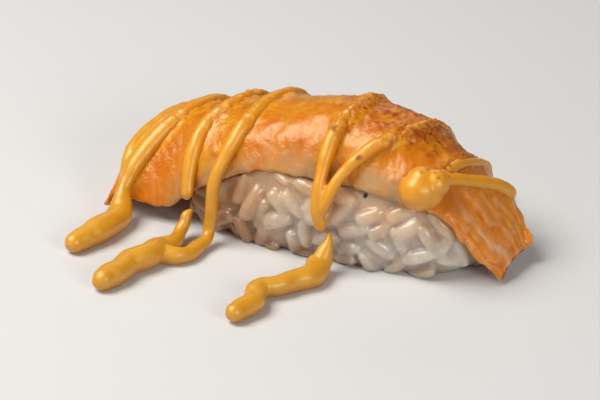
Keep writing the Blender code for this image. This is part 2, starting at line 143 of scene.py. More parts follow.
# How the strands are finished: a little plumper, sunk where the torch melted them, all but one swung from
# side to side where they lie and spread behind the block, and parted at two places (between two heights in
# mm), where the tip of the lower stretch leans on the rice.
SAUCE_PLUMP = 0.02 * MM
MELT_SINK = 0.9 * MM
MELT_THINNING = 0.1
STRAIGHT_TAIL = "left_pass"
TAIL_SWING = 8.5 * MM
TAIL_SWAY = 0.35 * MM
TAIL_PULSE = 0.04
TAIL_PULSE_RATE = 1.3
TAIL_SPREAD = 0.5
BREAKS = {"second_pass": (5.4, 7.4), "right_pass": (8.3, 9.7)}
BREAK_TAPERS = {"second_pass": 1.2 * MM, "right_pass": 4.5 * MM}
BREAK_LEAN = (0.9, 0.7, 0.2)
BREAK_TIP = 0.12
END_RINGS = (0.4, 0.75, 0.95)
LUMP_SIZES = (4.6 * MM, 1.8 * MM)
SAUCE_SMOOTHING = 6
SAUCE_SOLE = 0.35 * MM
SAUCE_SOLE_EDGE = 0.12 * MM
# The dollop's lobes: how far each is off the middle, and its size, in shares of the radius.
DOLLOP_PLACE = (21.4, -11.2)
DOLLOP_RADIUS = 4.2 * MM
DOLLOP_LIFT = 1.5 * MM
DOLLOP_LOBES = (
    ((-0.12, -0.1, -0.12), 0.92), ((0.52, 0.3, 0.2), 0.66),
    ((-0.1, 0.12, 0.27), 0.7), ((0.25, 0.1, -0.25), 0.7),
)

# The block of rice, the same as the solid's core. The powers shape its corners, left and right.
RICE_LENGTH = 61.5 * MM
RICE_WIDTH = 28.0 * MM
RICE_HEIGHT = 22.5 * MM
RICE_REAR_SHARE = 0.92
REAR_POWERS = (2.5, 3.4)
FRONT_POWERS = (4.5, 2.8)
CORE_UNEVENNESS = 0.7 * MM
CORE_BUMP_SIZE = 9.0 * MM
CORE_COLUMNS = 96
CORE_HEIGHTS = 28
CORE_PROFILE = (
    (0.0, 0.87), (0.07, 0.95), (0.2, 1.0), (0.38, 1.0), (0.56, 0.95),
    (0.72, 0.85), (0.86, 0.68), (0.95, 0.46), (0.99, 0.22),
)
GRAIN_LENGTH = 7.0 * MM
GRAIN_WIDTH = 3.0 * MM
GRAIN_APART = (5.5 * MM, 2.5 * MM)
GRAIN_LENGTHS = (0.84, 1.1)
GRAIN_WIDTHS = (0.88, 1.12)
GRAIN_RISE = (-0.14, 0.16)
GRAIN_LEAN = 0.13
GRAIN_TOUCH = 0.3 * MM
GRAIN_SHAPES = 24
GRAIN_TURN = 4.4
GRAIN_TURN_SIZE = 9.0 * MM
GRAIN_TURN_SPREAD = 0.35
GRAIN_SINKS = (-0.22, -0.36, -0.5)
GRAIN_SOLE = 0.1 * MM
RICE_SOLE = 0.05 * MM
SCATTER_TRIES = 26000
CORE_GAP = 0.35 * MM
RICE_VOXEL = 0.34 * MM
RICE_SOFTENING = 3
GRAIN_RING_SIDES = 12
GRAIN_RINGS = 8
SEED = 5

# Fine meshes.
COARSE_ALONG = 120
COARSE_ACROSS = 60
SLICE_ALONG = 320
SLICE_ACROSS = 120
RIM_STEPS = 6
SAUCE_ROUTE_STEP = 0.4 * MM
SAUCE_RING_SIDES = 14
SAUCE_VOXEL = 0.3 * MM
ROUTE_SAMPLES = 60

# Burnt spots, each with its radius, and a pepper flake: mm to the right of and above the origin, as the
# camera sees them.
BURNS = (
    (1.8, 14.1, 0.6), (-2.9, 19.9, 0.7), (-0.2, 19.3, 0.4), (15.2, 20.4, 0.6), (13.1, 18.9, 0.8),
    (12.1, 19.6, 0.4), (17.3, 19.6, 0.5), (18.4, 11.9, 0.5), (16.7, 12.1, 0.4), (19.3, 12.6, 0.5),
    (19.9, 11.3, 0.4), (7.4, 22.9, 0.9), (9.2, 22.4, 0.6), (20.6, 16.1, 0.4), (11.9, 16.9, 0.4),
    (14.6, 18.1, 0.5), (15.9, 18.7, 0.4), (5.6, 20.9, 0.4), (13.6, 11.3, 0.3), (14.8, 11.8, 0.34),
    (16.2, 11.2, 0.28), (17.5, 11.6, 0.4), (18.9, 10.4, 0.36), (16.9, 10.2, 0.3), (19.4, 11.3, 0.3),
)
PEPPER_PLACE = (3.1, 6.8)
PEPPER_SIZE = 1.0 * MM

# The camera: the photograph's angle, far away with a long lens.
CAMERA_AZIMUTH = math.radians(27.0)
CAMERA_ELEVATION = math.radians(27.0)
CAMERA_DISTANCE = 0.75
CAMERA_LENS = 228.0
CAMERA_ACROSS = -9.4 * MM
CAMERA_UP = 6.0 * MM

# The studio: each light's place, the height of its aim, its width, power and colour.
FLOOR_REACH = 3.0
FLOOR_COLOUR = (0.74, 0.735, 0.72, 1.0)
LIGHTS = {
    "key": ((-0.25, -0.155, 0.47), 0.015, 0.38, 3.0, (1.0, 0.98, 0.95)),
    "front_fill": ((-0.10, -0.75, 0.30), 0.01, 0.4, 0.4, (1.0, 1.0, 1.0)),
    "right_fill": ((0.62, -0.38, 0.34), 0.01, 0.3, 2.0, (1.0, 1.0, 1.0)),
    "back_rim": ((-0.2, 0.55, 0.35), 0.01, 0.3, 0.3, (1.0, 1.0, 1.0)),
}
WORLD_COLOUR = (0.95, 0.97, 1.0, 1.0)
WORLD_STRENGTH = 0.12


# Small helpers


def guide(points, share):
    """Smooth curve through evenly spaced guide points, in metres, for an array of shares from 0 to 1."""
    points = np.asarray(points, float)
    share = np.asarray(share, float)
    spans = len(points) - 1
    along = clamp(share) * spans
    span = np.minimum(along.astype(int), spans - 1)
    w = (along - span)[..., None]
    padded = np.vstack([2.0 * points[0] - points[1], points, 2.0 * points[-1] - points[-2]])
    before, start, end, after = (padded[span + k] for k in range(4))
    return 0.5 * MM * (
        2.0 * start
        + (end - before) * w
        + (2.0 * before - 5.0 * start + 4.0 * end - after) * w ** 2
        + (3.0 * start - before - 3.0 * end + after) * w ** 3
    )


def noise_at(points, size, seed=0.0):
    """Smooth noise of about -1 to 1, with features of that size, at each of the points."""
    shift = Vector((seed * 17.3, seed * 5.7, seed * 9.1))
    flat = points.reshape(-1, 3)
    values = np.fromiter((noise.noise(Vector(p) / size + shift) for p in flat), float, len(flat))
    return values.reshape(points.shape[:-1])


def clamp(value):
    return np.clip(value, 0.0, 1.0)


def ramp(low, high, value):
    """0 up to low, 1 from high on, with a soft way between them; low may be the larger."""
    share = clamp((value - low) / (high - low))
    return share * share * (3.0 - 2.0 * share)


def scene_object(name, data):
    obj = bpy.data.objects.new(name, data)
    bpy.context.scene.collection.objects.link(obj)
    return obj


def mesh_object(name, points, faces):
    mesh = bpy.data.meshes.new(name)
    mesh.from_pydata([tuple(p) for p in points], [], faces)
    mesh.shade_smooth()
    return scene_object(name, mesh)


def store(obj, **masks):
    """Gives each of the object's points a value under each of the names, for the materials."""
    for name, values in masks.items():
        layer = obj.data.attributes.new(name, "FLOAT", "POINT")
        layer.data.foreach_set("value", np.asarray(values, np.float32).ravel())


def tree_of(obj):
    edit = bmesh.new()
    edit.from_mesh(obj.data)
    tree = BVHTree.FromBMesh(edit)
    edit.free()
    return tree


def vertex_array(obj, kind="co"):
    flat = np.empty(len(obj.data.vertices) * 3)
    obj.data.vertices.foreach_get(kind, flat)
    return flat.reshape(-1, 3)


def move_vertices(obj, points):
    obj.data.vertices.foreach_set("co", points.ravel())
    obj.data.update()


def ring_faces(rings, sides):
    """Quads between neighbouring rings of points."""
    faces = []
    for ring in range(rings - 1):
        for step in range(sides):
            a = ring * sides + step
            b = ring * sides + (step + 1) % sides
            faces.append((a, b, b + sides, a + sides))
    return faces


def joined(shells):
    """The points and faces of several shells as one list each."""
    points = []
    faces = []
    for shell_points, shell_faces in shells:
        faces.extend(tuple(i + len(points) for i in face) for face in shell_faces)
        points.extend(shell_points)
    return points, faces


def fuse(obj, voxel, rounds):
    """Grows the object's overlapping shells into one skin and softens it."""
    remesh = obj.modifiers.new("remesh", "REMESH")
    remesh.mode = "VOXEL"
    remesh.voxel_size = voxel
    remesh.use_smooth_shade = True
    smooth = obj.modifiers.new("smooth", "SMOOTH")
    smooth.factor = 0.5
    smooth.iterations = rounds
    graph = bpy.context.evaluated_depsgraph_get()
    mesh = bpy.data.meshes.new_from_object(obj.evaluated_get(graph))
    obj.modifiers.clear()
    obj.data = mesh


def distance_to(tree, points):
    """How far each point is from the nearest one in the tree, in mm."""
    flat = points.reshape(-1, 3)
    found = np.fromiter((tree.find(Vector(p))[2] for p in flat), float, len(flat))
    return found.reshape(points.shape[:-1]) / MM


# The slice


def slice_points(along, across):
    """The slice's upper face, for shares along it (0 to 1) and across it (-1 at the front edge to 1)."""
    crest = guide(CREST, along)
    edge = np.where((across < 0.0)[..., None], guide(FRONT_EDGE, along), guide(REAR_EDGE, along))
    turn = np.abs(across) * SLICE_TURN
    out = np.sin(turn) / math.sin(SLICE_TURN)
    down = (1.0 - np.cos(turn)) / (1.0 - math.cos(SLICE_TURN))
    return np.stack([
        crest[..., 0] + (edge[..., 0] - crest[..., 0]) * out,
        edge[..., 1] * out,
        crest[..., 1] + (edge[..., 2] - crest[..., 1]) * down,
    ], axis=-1)


def slice_normals(along, across):
    step = 0.004
    side = np.where(across < 0.0, -1.0, 1.0)
    near = np.maximum(np.abs(across), step)
    by_along = slice_points(np.minimum(along + step, 1.0), across)
    by_along -= slice_points(np.maximum(along - step, 0.0), across)
    by_across = slice_points(along, side * np.minimum(near + step, 1.0))
    by_across -= slice_points(along, side * (near - step))
    normal = np.cross(by_along, by_across) * side[..., None]
    return normal / np.linalg.norm(normal, axis=-1, keepdims=True)


def slice_thickness(along, across):
    from_middle = np.abs(2.0 * along - 1.0)
    rim = 1.0 - (1.0 - SLICE_RIM_SHARE) * np.abs(across) ** 3
    end = 1.0 - (1.0 - SLICE_END_SHARE) * from_middle ** 5
    return SLICE_THICKNESS * rim * end


def coarse_slice_tree():
    """The slice's upper face, for dropping sauce points onto it."""
    columns = COARSE_ACROSS + 1
    along, across = np.meshgrid(
        np.linspace(0.0, 1.0, COARSE_ALONG + 1), np.linspace(-1.0, 1.0, columns), indexing="ij")
    points = slice_points(along, across).reshape(-1, 3)
    faces = []
    for row in range(COARSE_ALONG):
        for column in range(COARSE_ACROSS):
            a = row * columns + column
            faces.append((a, a + 1, a + columns + 1, a + columns))
    return BVHTree.FromPolygons([tuple(p) for p in points], faces)


def on_slice(tree, place, lift):
    """The point on the slice under a place seen from above, lifted off it."""
    above = Vector((place[0] * MM, place[1] * MM, 0.1))
    spot, normal, _, _ = tree.ray_cast(above, Vector((0.0, 0.0, -1.0)))
    if normal.z < 0.0:
        normal = -normal
    return spot + normal * lift


def make_slice(strand_tree):
    """The slab as closed sections from end to end, with round rims, muscle relief, pits and sauce banks."""
    rows = SLICE_ALONG + 1
    along_line = np.linspace(0.004, 0.996, rows)
    across_upper = np.linspace(-1.0 + RIM_INSET, 1.0 - RIM_INSET, SLICE_ACROSS + 1)
    across_lower = across_upper[::-2]
    rounding = end_rounding(along_line)

    along, across, middle, normals, half = slab(along_line, across_upper)
    upper = middle + normals * (half * rounding)[..., None]
    details = upper_relief(upper, along, across, strand_tree)
    upper = upper + normals * details.pop("height")[..., None]

    _, _, low_middle, low_normals, low_half = slab(along_line, across_lower)
    lower = low_middle - low_normals * (low_half * rounding)[..., None]

    rim_angles = np.linspace(RIM_ANGLE, -RIM_ANGLE, RIM_STEPS)
    rear_rim = rim(upper[:, -1], lower[:, 0], upper[:, -3], rim_angles)
    front_rim = rim(upper[:, 0], lower[:, -1], upper[:, 2], rim_angles[::-1])
    loops = np.concatenate([upper, rear_rim, lower, front_rim], axis=1)
    count = loops.shape[1]

    # Each section's points go over the upper face, round the rear rim, back below and round the front rim.
    on_upper = slice(0, SLICE_ACROSS + 1)
    on_rear_rim = slice(on_upper.stop, on_upper.stop + RIM_STEPS)
    on_lower = slice(on_rear_rim.stop, count - RIM_STEPS)
    on_front_rim = slice(on_lower.stop, count)

    rim_near = np.ones(count)
    rim_near[on_upper] = np.abs(across_upper) ** 8
    rim_near[on_lower] = np.abs(across_lower) ** 8
    points = frayed(loops.reshape(-1, 3), np.tile(rim_near, rows), np.repeat(along_line, count))

    faces = ring_faces(rows, count)
    faces.append(tuple(range(count))[::-1])
    faces.append(tuple(range((rows - 1) * count, rows * count)))
    obj = mesh_object("salmon_slice", points, faces)
    edit = bmesh.new()
    edit.from_mesh(obj.data)
    bmesh.ops.triangulate(edit, faces=[f for f in edit.faces if len(f.verts) > 4])
    bmesh.ops.recalc_face_normals(edit, faces=edit.faces)
    edit.to_mesh(obj.data)
    edit.free()
    obj.data.shade_smooth()

    for name, mask in details.items():
        values = np.zeros((rows, count))
        values[:, on_upper] = mask
        values[:, on_rear_rim] = mask[:, -1:]
        values[:, on_lower] = mask[:, ::-2] * 0.5
        values[:, on_front_rim] = mask[:, :1]
        store(obj, **{name: values})
    # The lower face, which faces the rice, is marked for painted shade.
    under = np.zeros((rows, count))
    under[:, on_lower] = 1.0
    store(obj, under=under)
    return obj


def slab(along_line, across_line):
    """Shares, points midway through the slab, normals and half the thickness, over a grid of shares."""
    along, across = np.meshgrid(along_line, across_line, indexing="ij")
    normals = slice_normals(along, across)
    thickness = slice_thickness(along, across)
    middle = slice_points(along, across) - normals * thickness[..., None] * 0.5
    return along, across, middle, normals, 0.5 * thickness


def end_rounding(along_line):
    """The share of its thickness that the slab has, which closes to a round edge at both ends."""
    steps = np.linalg.norm(np.diff(guide(CREST, along_line), axis=0), axis=1)
    walked = np.concatenate([[0.0], np.cumsum(steps)])
    to_end = np.minimum(walked, walked[-1] - walked)
    inward = np.minimum(to_end / END_ROUNDING, 1.0)
    return np.sqrt(np.clip(1.0 - (1.0 - inward) ** 2, 0.01, 1.0))[:, None]


def rim(top, bottom, inner, angles):
    """Half-round edge between the upper and the lower face, bulging away from the inner points."""
    centre = 0.5 * (top + bottom)
    half = 0.5 * np.linalg.norm(top - bottom, axis=1)[:, None]
    up = (top - bottom) / np.maximum(2.0 * half, 1e-9)
    out = top - inner
    out -= up * np.sum(out * up, axis=1)[:, None]
    out /= np.maximum(np.linalg.norm(out, axis=1)[:, None], 1e-9)
    steps = [centre + half * (math.sin(a) * up + RIM_BULGE * math.cos(a) * out) for a in angles]
    return np.stack(steps, axis=1)


def frayed(points, rim_near, along):
    """The slab's points with ragged, slightly frayed edges, clear of the table."""
    close = np.maximum(rim_near, np.abs(2.0 * along - 1.0) ** 18)
    coarse, fine = (
        np.stack([noise_at(points + apart * size, size) for apart in RIM_NOISE_SHIFTS], axis=1)
        for size in RIM_NOISE_SIZES
    )
    points = points + (coarse * RIM_RAGGEDNESS + fine * RIM_FRAY) * close[:, None]
    points[:, 2] = np.maximum(points[:, 2], SLICE_SOLE)
    return points


def upper_relief(points, along, across, strand_tree):
    """Height along the normal, in metres, and the colour masks, whose limits are places in mm or shares."""
    x = points[..., 0] / MM
    y = points[..., 1] / MM
    broad = noise_at(points, 5.0 * MM)
    middle = noise_at(points, 2.2 * MM, 1.0)
    fine = noise_at(points, 0.9 * MM, 2.0)
    patch = noise_at(points, 9.0 * MM, 3.0)

    # Muscle layers: slanting bands with thin pale lines between them, torched away on the crest.
    wave = 0.5 * noise_at(points, 12.0 * MM, 4.0) + 0.15 * middle
    band = (x + MUSCLE_SLANT * y) / MUSCLE_WIDTH + wave
    phase = band - np.floor(band)
    line = np.exp(-((phase - 0.5) / FAT_LINE_SHARE) ** 2)
    on_front = ramp(0.35, 0.8, -across)
    on_rear = ramp(0.3, 0.8, across)
    fat = line * clamp(0.3 * on_front + 0.5 * on_rear)

    # The flap: long fibres that run down it, with a few fat lines.
    on_flap = ramp(0.76, 0.86, along)
    strip = across * 7.0 + 1.4 * noise_at(points, 6.0 * MM, 5.0) - (along - 0.85) * 5.0 + 0.35 * middle
    fibre_wave = np.sin(strip * 3.6 + 2.4 * middle) * 0.5 + np.sin(strip * 7.0 + 3.5 * broad + fine) * 0.2
    fibre = on_flap * clamp(0.5 + 0.5 * fibre_wave + 0.5 * middle)
    flap_line = 1.3 * np.exp(-((strip + 3.9) / 0.34) ** 2) + 0.6 * np.exp(-((strip + 1.3) / 0.2) ** 2)
    flap_line += 0.5 * np.exp(-((strip - 1.7) / 0.2) ** 2)
    flap_line = clamp(flap_line * (0.45 + 0.55 * ramp(-0.25, 0.35, middle)))
    fat = fat * (1.0 - on_flap) + on_flap * flap_line

    # The torch has passed over the crest, most of all towards the right.
    reach = ramp(-9.0, -3.0, y + 1.5 * middle) * ramp(15.0, 7.0, y)
    over_right = ramp(-4.0, 6.0, x) * ramp(30.0, 21.0, x)
    over_left = 0.22 * ramp(-40.0, -28.0, x) * ramp(2.0, -12.0, x)
    sear = reach * clamp(over_right + over_left) * (0.72 + 0.55 * patch + 0.6 * middle)
    sear = clamp(sear)

    # Thin sauce lies over the crest and down between the strands.
    distance = distance_to(strand_tree, points)
    near = np.exp(-(np.maximum(distance - 1.3, 0.0) / 1.5) ** 2)
    left_run = ramp(-33.0, -28.0, x) * ramp(-13.0, -18.0, x)
    foot = -4.5 - 6.0 * left_run
    spread = ramp(foot - 3.0, foot + 2.5, y + 3.2 * patch + 1.6 * middle)
    spread *= ramp(16.0, 9.0, y)
    film = clamp(0.95 * near + 0.85 * spread) * (1.0 - 0.85 * ramp(0.72, 0.8, along))
    film *= ramp(-1.0, -0.86, across)

    # Where the slice thins out over the rice its edge is paler and lets the rice through.
    thin = ramp(0.55, 0.93, -across) * ramp(-37.0, -29.0, x) * ramp(25.0, 18.0, x)
    thin = clamp(thin * (0.9 + 0.6 * patch + 0.45 * middle))

    # Beads and pits: the torch has boiled the thin sauce.
    boiled = clamp(0.45 * film + sear) * ramp(-9.0, -4.0, y)
    bead = clamp(noise_at(points, 0.75 * MM, 9.0) - 0.12)
    narrow, wide = STREAK_SIZE
    along_muscle = np.stack([
        (x + MUSCLE_SLANT * y) / narrow, (y - MUSCLE_SLANT * x) / wide, points[..., 2] / (wide * MM),
    ], axis=-1)
    streak = noise_at(along_muscle, 1.0, 13.0) + 0.5 * noise_at(along_muscle * 2.1, 1.0, 14.0)
    height = SLICE_RELIEF * broad + MIDDLE_RELIEF * middle + FINE_RELIEF * fine
    height += STREAK_RELIEF * streak * (1.0 - on_flap)
    height += boiled * (BEAD_RELIEF * bead + BOILED_RELIEF * fine)
    height -= FAT_GROOVE * fat * (1.0 - on_flap)
    flap_height = FLAP_FIBRE_RELIEF * fibre_wave + FLAP_MIDDLE_RELIEF * middle
    height += on_flap * (flap_height + FLAP_LINE_RELIEF * flap_line)

    # Sauce banked up against the strands, with ripples beside them where it has melted.
    melted = ramp(-9.0, -2.0, y) * ramp(14.0, 8.0, y)
    bank = np.exp(-(np.maximum(distance - 1.2, 0.0) / (0.9 + 0.5 * melted)) ** 2)
    height += (0.25 + 0.5 * melted) * MM * bank * (1.0 - 0.5 * on_flap)
    away = np.maximum(distance - 1.2 + 0.5 * broad, 0.0)
    ripple = np.cos(away * math.tau / RIPPLE_LENGTH) * np.exp(-(away / 2.4) ** 2) * melted * over_right
    height += RIPPLE_RELIEF * ripple * ramp(-0.5, 0.5, middle + 0.5 * broad)
    height *= ramp(1.0, 0.93, np.abs(across)) * 0.6 + 0.4
    return {"height": height, "sear": sear, "film": film, "fat": clamp(fat), "fibre": fibre, "thin": thin}


# The sauce


def knot_of(tree, place, weight):
    """A guide point in mm and the strand's radius there: on the table, the point's height."""
    if len(place) == 2:
        radius = TOP_RADIUS * weight
        return np.array(on_slice(tree, place, radius * SAUCE_LIFT * MM)) / MM, radius
    if place[2] < TABLE_REACH:
        return np.array(place, float), place[2]
    return np.array(place, float), HANG_RADIUS * weight


def route_of(tree, name, places, weight):
    """Closely spaced points and radii along a strand, in metres, in one or two stretches."""
    positions, radii = zip(*(knot_of(tree, place, weight) for place in places))
    share = np.linspace(0.0, 1.0, len(places) * ROUTE_SAMPLES)
    line = guide(positions, share)
    radius = np.interp(share * (len(places) - 1), np.arange(len(places)), radii) * MM
    walked = np.concatenate([[0.0], np.cumsum(np.linalg.norm(np.diff(line, axis=0), axis=1))])
    even = np.linspace(0.0, walked[-1], max(3, int(walked[-1] / SAUCE_ROUTE_STEP)))
    spaced = np.stack([np.interp(even, walked, line[:, k]) for k in range(3)], axis=1)
    radius = np.interp(even, walked, radius) + SAUCE_PLUMP

    # Melted by the torch over the crest: lower, and sunk into the thin sauce.
    x, y, z = spaced.T / MM
    melt = ramp(-10.0, -4.5, y) * ramp(14.0, 9.0, y) * ramp(14.0, 19.0, z)
    melt *= 0.55 + 0.45 * ramp(-6.0, 2.0, x)
    radius *= 1.0 - MELT_THINNING * melt
    spaced[:, 2] -= MELT_SINK * melt

    # Laid on the table in small swings, and wider behind the block.
    lying = ramp(3.2, 2.4, z) * (0.0 if name == STRAIGHT_TAIL else 1.0)
    direction = np.gradient(spaced, axis=0)
    direction /= np.linalg.norm(direction, axis=1)[:, None]
    sideways = np.cross(direction, (0.0, 0.0, 1.0))
    swing = np.sin(even / TAIL_SWING * math.tau + len(name))
    ends = ramp(0.0, 3.0 * MM, np.minimum(even, even[-1] - even))
    spaced += sideways * (TAIL_SWAY * swing * lying * ends)[:, None]
    radius *= 1.0 + TAIL_PULSE * lying * np.cos(even / TAIL_SWING * math.tau * TAIL_PULSE_RATE + len(name))
    behind = ramp(17.0, 20.5, y) * ramp(27.8, 24.2, y)
    radius *= 1.0 + TAIL_SPREAD * lying * behind

    if name not in BREAKS:
        return [(spaced, radius, even)]
    low, high = BREAKS[name]
    reach = BREAK_TAPERS[name]
    table_end = np.argmax(z > low)
    slice_end = np.argmax(z > high)
    stretches = []
    for chosen, cut in ((slice(0, table_end), even[table_end]), (slice(slice_end, None), even[slice_end])):
        gone = np.abs(even[chosen] - cut)
        taper = BREAK_TIP + (1.0 - BREAK_TIP) * np.sqrt(ramp(0.0, reach, gone))
        moved = spaced[chosen].copy()
        if chosen.start == 0:
            moved += np.array(BREAK_LEAN) * MM * (1.0 - ramp(0.0, reach, gone))[:, None]
        stretches.append((moved, radius[chosen] * taper, even[chosen]))
    return stretches


def end_rings(end, inner, radius):
    """Middles and radii of the rings that close a tube to a round end."""
    out = (end - inner) / np.linalg.norm(end - inner)
    return [(end + out * radius * share, radius * math.sqrt(1.0 - share ** 2)) for share in END_RINGS]


def make_tube(spaced, radii, walked, seed):
    """Points and faces of a closed tube with round ends and soft lumps."""
    rings = end_rings(spaced[0], spaced[1], radii[0])[::-1]
    for index, point in enumerate(spaced):
        low = 1.0 if point[2] < 3.0 * MM else 0.45
        lump = noise.noise(Vector((walked[index] / LUMP_SIZES[0], seed * 7.1, 0.3)))
        lump += 0.3 * noise.noise(Vector((walked[index] / LUMP_SIZES[1], seed * 3.3, 5.0)))
        rings.append((point, radii[index] * (1.0 + 0.2 * low * lump)))
    rings += end_rings(spaced[-1], spaced[-2], radii[-1])
    points = []
    side = np.array([1.0, 0.0, 0.0])
    for index, (centre, radius) in enumerate(rings):
        ahead = rings[min(index + 1, len(rings) - 1)][0]
        behind = rings[max(index - 1, 0)][0]
        direction = (ahead - behind) / np.linalg.norm(ahead - behind)
        side = side - direction * side.dot(direction)
        side /= np.linalg.norm(side)
        other = np.cross(direction, side)
        for step in range(SAUCE_RING_SIDES):
            angle = math.tau * step / SAUCE_RING_SIDES
            points.append(centre + (side * math.cos(angle) + other * math.sin(angle)) * radius)
    faces = ring_faces(len(rings), SAUCE_RING_SIDES)
    last = (len(rings) - 1) * SAUCE_RING_SIDES
    faces.append(tuple(range(SAUCE_RING_SIDES))[::-1])
    faces.append(tuple(range(last, last + SAUCE_RING_SIDES)))
    return points, faces


def make_sauce(routes, tree):
    """Strands and dollop as one skin, beaded where torched and pressed flat on the table."""
    tubes = [make_tube(*route, index + 1.0) for index, route in enumerate(routes)]
    obj = mesh_object("sauce", *joined(tubes))
    edit = bmesh.new()
    edit.from_mesh(obj.data)
    main = on_slice(tree, DOLLOP_PLACE, DOLLOP_LIFT)
    for offset, radius in DOLLOP_LOBES:
        place = main + Vector(offset) * DOLLOP_RADIUS
        bmesh.ops.create_icosphere(
            edit, subdivisions=4, radius=DOLLOP_RADIUS * radius, matrix=Matrix.Translation(place))
    edit.to_mesh(obj.data)
    edit.free()
    fuse(obj, SAUCE_VOXEL, SAUCE_SMOOTHING)
    points = vertex_array(obj)
    normals = vertex_array(obj, "normal")
    torched = torch_on_sauce(points)
    bead = np.clip(noise_at(points, 0.8 * MM, 10.0) - 0.05, -0.25, 1.0)
    lump = noise_at(points, 2.4 * MM, 11.0)
    height = torched * MM * (0.42 * bead + 0.4 * noise_at(points, 1.5 * MM, 15.0)) + 0.14 * MM * lump
    points += normals * height[:, None]
    low = points[:, 2] < SAUCE_SOLE
    share = clamp(points[low, 2] / SAUCE_SOLE)
    points[low, 2] = SAUCE_SOLE_EDGE + (SAUCE_SOLE - SAUCE_SOLE_EDGE) * share ** 2
    move_vertices(obj, points)
    crest = ramp(7.0 * MM, 19.0 * MM, points[:, 2])
    # Painted shade on the sides and undersides of the sauce, by how far its normals turn away from up.
    store(obj, crest=crest, torched=torched, flank=ramp(0.45, -0.45, normals[:, 2]))
    return obj


def torch_on_sauce(points):
    """How much the torch has boiled and browned the sauce at each point."""
    x, y, z = points.T / MM
    patch = noise_at(points, 6.0 * MM, 6.0)
    grain = noise_at(points, 1.4 * MM, 7.0)
    over = ramp(-12.0, -6.5, y) * ramp(15.0, 8.0, y) * ramp(14.0, 20.0, z)
    right = (0.45 + 0.55 * ramp(-8.0, 8.0, x)) * ramp(26.0, 18.0, x)
    return clamp(over * right * (0.75 + 0.5 * patch + 0.45 * grain))


# The rice


def core_ring(height_share, width_share):
    """One level, uneven ring round the pressed block, with its own shape at each of the four corners."""
    angle = np.linspace(0.0, math.tau, CORE_COLUMNS, endpoint=False)
    c, s = np.cos(angle), np.sin(angle)
    power = np.where(s > 0.0, np.where(c < 0.0, *REAR_POWERS), np.where(c < 0.0, *FRONT_POWERS))
    reach = (np.abs(c) ** power + np.abs(s) ** power) ** (-1.0 / power)
    depth = np.where(s > 0.0, RICE_REAR_SHARE, 1.0)
    points = np.stack([
        0.5 * RICE_LENGTH * width_share * c * reach,
        0.5 * RICE_WIDTH * width_share * depth * s * reach,
        np.full_like(c, RICE_HEIGHT * height_share),
    ], axis=1)
    bump = CORE_UNEVENNESS * noise_at(points, CORE_BUMP_SIZE)
    return points + np.stack([c, s, np.zeros_like(c)], axis=1) * bump[:, None]


def fitted(points, over):
    """Each point, or where the way to it from inside the block comes near the slice."""
    placed = []
    for point in points:
        point = Vector(point)
        inside = Vector((point.x * 0.8, 0.0, min(point.z, 0.3 * RICE_HEIGHT)))
        way = point - inside
        _, _, _, hit = over.ray_cast(inside, way.normalized())
        room = way.length if hit is None else min(way.length, hit - CORE_GAP)
        placed.append(inside + way.normalized() * room)
    return placed


def make_core(over):
    """Points and faces of the pressed block that fills the room between the grains."""
    columns = CORE_COLUMNS
    heights = np.linspace(0.0, CORE_PROFILE[-1][0], CORE_HEIGHTS)
    points = []
    for height_share, width_share in zip(heights, np.interp(heights, *zip(*CORE_PROFILE))):
        points.extend(fitted(core_ring(height_share, width_share), over))
    crown = len(points)
    points.append(fitted([(0.0, 0.0, RICE_HEIGHT)], over)[0])
    faces = [tuple(range(columns))[::-1]] + ring_faces(len(heights), columns)
    last = (len(heights) - 1) * columns
    for column in range(columns):
        faces.append((last + column, last + (column + 1) % columns, crown))
    return points, faces


def grain_shape(draw):
    """One plump short grain along +X, a unit long and wide, with a bent back and blunt ends."""
    bend = draw.uniform(-0.1, 0.1)
    flat = draw.uniform(0.8, 0.95)
    blunt = draw.uniform(0.45, 0.6)
    points = [np.array([-0.5, 0.0, 0.0])]
    for ring in range(1, GRAIN_RINGS + 1):
        share = ring / (GRAIN_RINGS + 1)
        x = -0.5 * math.cos(math.pi * share)
        width = 0.5 * math.sin(math.pi * share) ** blunt * (1.0 - 0.2 * x)
        for step in range(GRAIN_RING_SIDES):
            angle = math.tau * step / GRAIN_RING_SIDES
            arch = bend * (1.0 - 4.0 * x * x)
            points.append(np.array([x, width * math.cos(angle) + arch, width * flat * math.sin(angle)]))
    points.append(np.array([0.5, 0.0, 0.0]))
    return np.array(points)


def grain_faces():
    """The faces of one grain: rings of quads, closed with a fan at each end."""
    sides = GRAIN_RING_SIDES
    end = 1 + (GRAIN_RINGS - 1) * sides
    faces = [tuple(i + 1 for i in face) for face in ring_faces(GRAIN_RINGS, sides)]
    for step in range(sides):
        after = (step + 1) % sides
        faces += [(0, 1 + after, 1 + step), (end + step, end + after, end + sides)]
    return faces


